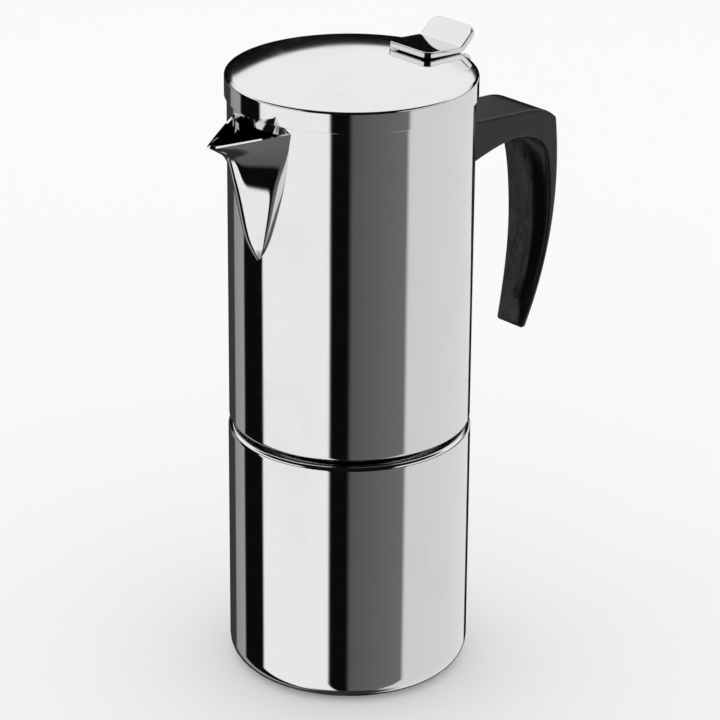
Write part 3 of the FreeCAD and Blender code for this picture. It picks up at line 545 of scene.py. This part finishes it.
ridge = outline([(THREAD_ROOT[0], THREAD_MIDDLE - THREAD_ROOT[1]),
                 (THREAD_CREST[0], THREAD_MIDDLE - THREAD_CREST[1], CREST_ROUND),
                 (THREAD_CREST[0], THREAD_MIDDLE + THREAD_CREST[1], CREST_ROUND),
                 (THREAD_ROOT[0], THREAD_MIDDLE + THREAD_ROOT[1])])
bmesh.ops.contextual_create(ridge, geom=ridge.edges)
ridge_steps = int(THREAD_STEPS * THREAD_TURNS)
bmesh.ops.spin(ridge, geom=ridge.verts[:] + ridge.edges[:] + ridge.faces[:], cent=(0, 0, 0), axis=AXIS,
               dvec=(0, 0, THREAD_PITCH * THREAD_TURNS * MM / ridge_steps),
               angle=2 * math.pi * THREAD_TURNS, steps=ridge_steps)
bmesh.ops.remove_doubles(ridge, verts=ridge.verts, dist=JOIN)
ridge_data = bpy.data.meshes.new("ridge")
ridge.to_mesh(ridge_data)
ridge.free()
boiler.from_mesh(ridge_data)
bpy.data.meshes.remove(ridge_data)
close_and_place(boiler, "boiler_shell")

# %% [markdown]
# ## The collector's wall, with a window for the spout
#
# The wall is spun like the boiler, with its foot rolled in. The spout needs a V-shaped window. A Boolean
# would do it, but it leaves slivers that show on a mirror. Four planes cut the skins instead, the faces
# between them are deleted, and the two open loops, outer and inner, are bridged to close the edge of the
# sheet.

# %% The collector's wall
COLLECTOR_RADIUS = 45.0
COLLECTOR_SHEET = 1.0
COLLECTOR_FOOT = 99.0
COLLECTOR_RIM = 231.4
FOOT_LIP = 42.4
WINDOW_TOP = (221.5, 12.2)
WINDOW_FOOT = (178.5, 2.6)
FRONT = -34.0
lean = (WINDOW_TOP[1] - WINDOW_FOOT[1]) / (WINDOW_TOP[0] - WINDOW_FOOT[0])


def in_window(point):
    """Whether a point of the wall, in millimetres, lies behind the spout."""
    half = WINDOW_FOOT[1] + (point.z - WINDOW_FOOT[0]) * lean
    return point.x < FRONT and WINDOW_FOOT[0] < point.z < WINDOW_TOP[0] and abs(point.y) < half


def slice_front(mesh, point, normal):
    front = [face for face in mesh.faces if face.calc_center_median().x < FRONT * MM]
    edges = {edge for face in front for edge in face.edges}
    points = {vert for face in front for vert in face.verts}
    bmesh.ops.bisect_plane(mesh, geom=list(points) + list(edges) + front, dist=JOIN,
                           plane_co=[c * MM for c in point], plane_no=normal)


inner_radius = COLLECTOR_RADIUS - COLLECTOR_SHEET
lip_top = COLLECTOR_FOOT + COLLECTOR_SHEET
collector = spin_round(outline([
    (FOOT_LIP, COLLECTOR_FOOT), (COLLECTOR_RADIUS, COLLECTOR_FOOT, 1.6),
    (COLLECTOR_RADIUS, COLLECTOR_RIM, 0.3), (inner_radius, COLLECTOR_RIM, 0.3),
    (inner_radius, lip_top, 0.4), (FOOT_LIP, lip_top)]))
slice_front(collector, (0, 0, WINDOW_TOP[0]), AXIS)
slice_front(collector, (0, 0, WINDOW_FOOT[0]), AXIS)
for way in (-1, 1):
    slice_front(collector, (0, way * WINDOW_TOP[1], WINDOW_TOP[0]), (0, 1, -way * lean))
opened = [face for face in collector.faces if in_window(face.calc_center_median() / MM)]
bmesh.ops.delete(collector, geom=opened, context="FACES")
rim_edges = [edge for edge in collector.edges if edge.is_boundary]
bmesh.ops.bridge_loops(collector, edges=rim_edges)
print("window:", len(opened), "faces opened,", len(rim_edges), "edges bridged")
close_and_place(collector, "collector_wall")

# %% [markdown]
# ## The spout
#
# The spout is pressed from sheet. Low down it is a blunt scoop that steps out of the wall, and towards
# the rim it opens into two flat wings and a lip that flares to a point. It is lofted: at each height a
# wire of five corners gives the step, the wing and the keel, vertex bevels round them, and neighbouring
# wires are bridged, and a slanted cut makes the rim. A Subdivision Surface draws one fair surface through
# the loft, which a mirror needs, and Solidify gives the sheet its thickness inwards. An open sheet has no
# outside of its own, so the faces are turned until the keel looks forwards.

# %% The wires of the spout
SPOUT_LEVELS = [  # height, keel tip, half width at the wall, round of the keel, step out of the wall
    (224.5, 71.0, 15.4, 2.4, 0.3), (221.5, 68.9, 15.2, 2.6, 0.3), (219.3, 66.8, 14.8, 2.8, 0.3),
    (217.4, 64.0, 14.5, 3.0, 0.4), (215.8, 61.4, 14.3, 3.4, 0.7), (214.0, 59.2, 14.2, 3.8, 1.2),
    (210.0, 57.0, 13.9, 4.2, 2.4), (205.0, 55.7, 13.0, 4.6, 3.8), (199.0, 54.0, 11.9, 5.2, 4.0),
    (192.0, 52.3, 10.0, 5.4, 3.4), (185.0, 50.8, 7.9, 5.0, 2.8), (179.5, 49.3, 5.9, 4.2, 2.2),
    (175.6, 47.4, 3.7, 3.0, 1.2), (173.0, 45.9, 2.0, 1.6, 0.5), (171.8, 45.1, 1.0, 0.8, 0.15)]
SPOUT_END_RADIUS = 44.6
WING_CUTS = 5
KEEL_SEGMENTS = 8
STEP_SEGMENTS = 2
STEP_TAPER = 0.2
STEP_ROUND = 0.25
LEAN_ROUNDS = 6


def edges_at(mesh, height):
    return [edge for edge in mesh.edges if all(abs(vert.co.z / MM - height) < 0.01 for vert in edge.verts)]


def wing_wire(mesh, height, tip, half, nose, step):
    """From inside the wall, out over the step, along each wing to a keel whose round reaches the tip."""
    root = math.sqrt(SPOUT_END_RADIUS ** 2 - half ** 2)
    knee, knee_half = root + step, half - STEP_TAPER * step
    apex = tip
    for _ in range(LEAN_ROUNDS):
        lean = math.atan2(apex - knee, knee_half)
        apex = tip + nose * (1 / math.cos(lean) - 1)
    corners = [mesh.verts.new((-x * MM, y * MM, height * MM)) for x, y in (
        (root, -half), (knee, -knee_half), (apex, 0), (knee, knee_half), (root, half))]
    for ends in zip(corners, corners[1:]):
        mesh.edges.new(ends)
    for corner, offset, segments in ((corners[2], nose * math.tan(lean), KEEL_SEGMENTS),
                                     (corners[1], step * STEP_ROUND, STEP_SEGMENTS),
                                     (corners[3], step * STEP_ROUND, STEP_SEGMENTS)):
        bmesh.ops.bevel(mesh, geom=[corner], offset=offset * MM, affect="VERTICES", segments=segments,
                        profile=0.5, material=-1)
    wings = sorted(edges_at(mesh, height), key=lambda edge: -edge.calc_length())[:2]
    bmesh.ops.subdivide_edges(mesh, edges=wings, cuts=WING_CUTS)


# %% The spout
RIM_AT_WALL = (-43.0, 0.0, 222.6)
RIM_SLOPE = 3.3 / 23.8
SPOUT_SHEET = 1.0
RIM_ROUND = 0.44
RIM_ANGLE = math.radians(50)

spout = bmesh.new()
for level in SPOUT_LEVELS:
    wing_wire(spout, *level)
for above, below in zip(SPOUT_LEVELS, SPOUT_LEVELS[1:]):
    bmesh.ops.bridge_loops(spout, edges=edges_at(spout, above[0]) + edges_at(spout, below[0]))
bmesh.ops.bisect_plane(spout, geom=spout.verts[:] + spout.edges[:] + spout.faces[:], dist=JOIN,
                       plane_co=[c * MM for c in RIM_AT_WALL], plane_no=(-RIM_SLOPE, 0, 1), clear_outer=True)
bmesh.ops.recalc_face_normals(spout, faces=spout.faces)
keel_face = min(spout.faces, key=lambda face: face.calc_center_median().x)
if keel_face.normal.x > 0:
    bmesh.ops.reverse_faces(spout, faces=spout.faces)
shade(spout, math.pi)
place_piece(spout, "spout",
            ("SUBSURF", {"levels": 2, "render_levels": 2}),
            ("SOLIDIFY", {"thickness": SPOUT_SHEET * MM, "offset": -1.0}),
            ("BEVEL", {"width": RIM_ROUND * MM, "segments": 3, "limit_method": "ANGLE",
                       "angle_limit": RIM_ANGLE}))

# %% [markdown]
# ## The lid
#
# The lid is a pressed disc: a very low dome, a tight round at the edge and a straight skirt. The dome is
# what gives the lid its dark crescent at the back, so it has to be a true arc. A single point spun about
# the dome's far-off centre draws that arc, and the whole outline is then spun about the pot's axis.

# %% The lid
LID_RADIUS = 45.9
LID_EDGE = 232.8
LID_SKIRT = 224.8
LID_DOME = 1.2
LID_SHEET = 0.6
DOME_STEPS = 16


def dome_arc(mesh, radius, edge):
    """An arc from the axis out to a radius, which falls to the edge's height."""
    sphere = (radius ** 2 + LID_DOME ** 2) / (2 * LID_DOME)
    crown = mesh.verts.new((0, 0, (edge + LID_DOME) * MM))
    arc = bmesh.ops.spin(mesh, geom=[crown], cent=(0, 0, (edge + LID_DOME - sphere) * MM), axis=(0, 1, 0),
                         dvec=(0, 0, 0), angle=math.asin(radius / sphere), steps=DOME_STEPS)
    return next(item for item in arc["geom_last"] if isinstance(item, bmesh.types.BMVert))


lid = bmesh.new()
outer_corner = dome_arc(lid, LID_RADIUS, LID_EDGE)
inner_corner = dome_arc(lid, LID_RADIUS - LID_SHEET, LID_EDGE - LID_SHEET)
skirt_out = lid.verts.new((LID_RADIUS * MM, 0, LID_SKIRT * MM))
skirt_in = lid.verts.new(((LID_RADIUS - LID_SHEET) * MM, 0, LID_SKIRT * MM))
for ends in ((outer_corner, skirt_out), (skirt_out, skirt_in), (skirt_in, inner_corner)):
    lid.edges.new(ends)
for corner, size in ((outer_corner, 1.0), (inner_corner, 0.5), (skirt_out, 0.2), (skirt_in, 0.2)):
    bmesh.ops.bevel(lid, geom=[corner], offset=size * MM, affect="VERTICES", segments=ROUND_SEGMENTS,
                    profile=0.5, material=-1)
close_and_place(spin_round(lid), "lid_disc")

# %% [markdown]
# ## The thumb lever
#
# A plate with rounded corners that lies on the lid, and whose outer end is bent up for the thumb. It is
# made as a metalworker would make it: the flat blank first, with its corners and edges rounded, and the
# bend last. The bend is six small turns about lines across the plate, which leaves a true round on its
# back.

# %% The thumb lever
LEVER_FOLD = (44.2, 0.0, 235.3)
LEVER_ARM = 17.2
LEVER_TAB = 9.3
LEVER_HALF = 11.0
LEVER_SHEET = 2.3
LEVER_SLOPE = 3.6
LEVER_BEND = 42.0 + LEVER_SLOPE
LEVER_INNER_ROUND = 3.4
LEVER_OUTER_ROUND = 4.0
LEVER_EDGE_ROUND = 0.4
CORNER_SEGMENTS = 10
EDGE_SEGMENTS = 4
BEND_STEPS = 6
BEND_SPACING = 0.36
SQUARE_EDGE = math.radians(60)

lever = bmesh.new()
blank = [lever.verts.new((x * MM, y * MM, 0)) for x, y in (
    (-LEVER_ARM, -LEVER_HALF), (LEVER_TAB, -LEVER_HALF), (LEVER_TAB, LEVER_HALF), (-LEVER_ARM, LEVER_HALF))]
bmesh.ops.contextual_create(lever, geom=blank)
corner_rounds = (LEVER_INNER_ROUND, LEVER_OUTER_ROUND, LEVER_OUTER_ROUND, LEVER_INNER_ROUND)
for corner, size in zip(blank, corner_rounds):
    bmesh.ops.bevel(lever, geom=[corner], offset=size * MM, affect="VERTICES", segments=CORNER_SEGMENTS,
                    profile=0.5, material=-1)
grown = bmesh.ops.extrude_face_region(lever, geom=lever.faces[:])
bmesh.ops.translate(lever, vec=(0, 0, -LEVER_SHEET * MM),
                    verts=[item for item in grown["geom"] if isinstance(item, bmesh.types.BMVert)])
bmesh.ops.recalc_face_normals(lever, faces=lever.faces)
rims = [edge for edge in lever.edges if edge.calc_face_angle(0) > SQUARE_EDGE]
bmesh.ops.bevel(lever, geom=rims, offset=LEVER_EDGE_ROUND * MM, affect="EDGES", segments=EDGE_SEGMENTS,
                profile=0.5, material=-1)
print("lever blank:", len(lever.faces), "faces")

# %% Bending the lever
bend_lines = [(step - (BEND_STEPS - 1) / 2) * BEND_SPACING * MM for step in range(BEND_STEPS)]
for line in bend_lines:
    bmesh.ops.bisect_plane(lever, geom=lever.verts[:] + lever.edges[:] + lever.faces[:], dist=JOIN,
                           plane_co=(line, 0, 0), plane_no=(1, 0, 0))
beyond = {line: [vert for vert in lever.verts if vert.co.x > line + JOIN] for line in bend_lines}
for line in reversed(bend_lines):
    bmesh.ops.rotate(lever, verts=beyond[line], cent=(line, 0, 0),
                     matrix=Matrix.Rotation(-math.radians(LEVER_BEND / BEND_STEPS), 3, "Y"))
bmesh.ops.rotate(lever, verts=lever.verts, cent=(0, 0, 0),
                 matrix=Matrix.Rotation(math.radians(LEVER_SLOPE), 3, "Y"))
bmesh.ops.translate(lever, verts=lever.verts, vec=[c * MM for c in LEVER_FOLD])
close_and_place(lever, "thumb_lever")

# %% [markdown]
# ## Skins from the CAD pieces
#
# Most pieces already have the right shape in CAD, but as loose triangles with hard shading. A copy is
# merged and shaded smooth. On the milled and folded pieces, flat areas are first joined into single
# faces, and a small Bevel modifier breaks their edges, because no real edge is perfectly sharp and a
# broken edge catches the light.

# %% Skins from the CAD pieces
MADE_HERE = {"boiler_shell", "collector_wall", "spout", "lid_disc", "thumb_lever", "handle"}
BROKEN_EDGES = {"valve_body": 0.35, "valve_nut": 0.3, "hinge_bracket": 0.25, "lid_knuckle": 0.25,
                "handle_tang": 0.2, "hinge_pin": 0.2}
BROKEN_ANGLE = math.radians(35)
SAME_PLANE = math.radians(0.5)


def copy_of(name):
    mesh = bmesh.new()
    mesh.from_mesh(frame["nodes"][name].data)
    bmesh.ops.remove_doubles(mesh, verts=mesh.verts, dist=JOIN)
    return mesh


for name in frame["nodes"]:
    if name in MADE_HERE:
        continue
    skin = copy_of(name)
    breaking = ()
    if name in BROKEN_EDGES:
        bmesh.ops.dissolve_limit(skin, angle_limit=SAME_PLANE, verts=skin.verts, edges=skin.edges)
        breaking = (("BEVEL", {"width": BROKEN_EDGES[name] * MM, "segments": 2, "limit_method": "ANGLE",
                               "angle_limit": BROKEN_ANGLE}),)
    shade(skin)
    place_piece(skin, name, *breaking)

# %% [markdown]
# ## The handle
#
# The handle's outside comes from the CAD copy, but the face that the fingers pull on is hollowed a
# little, which CAD leaves flat. The copy is sliced across and along so that this face has points to move,
# and each point moves in by an amount that fades to nothing at the rounded edges.

# %% The handle
GRIP_HOLLOW = 1.1
GRIP_TOP = 206.6
GRIP_FOOT = 111.0
GRIP_INSIDE = 70.0
GRIP_FADE = 8.0
TIP_CLEAR = 2.5
TOP_HALF = 12.2
TIP_HALF = 6.6
TAPER = 2.5
EDGE_ROUND = 1.2
LENGTHWISE_CUTS = range(-10, 11, 2)
CROSS_CUTS = range(114, 190, 4)


def share_between(value, start, length):
    return min(1.0, max(0.0, (value - start) / length))


def slice_all(mesh, height, normal):
    bmesh.ops.bisect_plane(mesh, geom=mesh.verts[:] + mesh.edges[:] + mesh.faces[:], dist=JOIN,
                           plane_co=[n * height * MM for n in normal], plane_no=normal)


handle = copy_of("handle")
for line in LENGTHWISE_CUTS:
    slice_all(handle, line, (0, 1, 0))
for line in CROSS_CUTS:
    slice_all(handle, line, AXIS)
handle.normal_update()
hollowed = 0
for vert in handle.verts:
    x, y, z = vert.co / MM
    low = max(0.0, (GRIP_TOP - z) / (GRIP_TOP - GRIP_FOOT))
    flat = TIP_HALF + (TOP_HALF - TIP_HALF) * (1 - low ** TAPER) - EDGE_ROUND
    across_share = y / flat
    pull = share_between(-vert.normal.x, 0.3, 0.5) * share_between(z, GRIP_FOOT + TIP_CLEAR, GRIP_FADE)
    if x > GRIP_INSIDE and abs(across_share) < 1 and pull > 0:
        vert.co -= vert.normal * GRIP_HOLLOW * MM * pull * (1 - across_share ** 2)
        hollowed += 1
print(hollowed, "points of the grip hollowed")
shade(handle)
place_piece(handle, "handle")
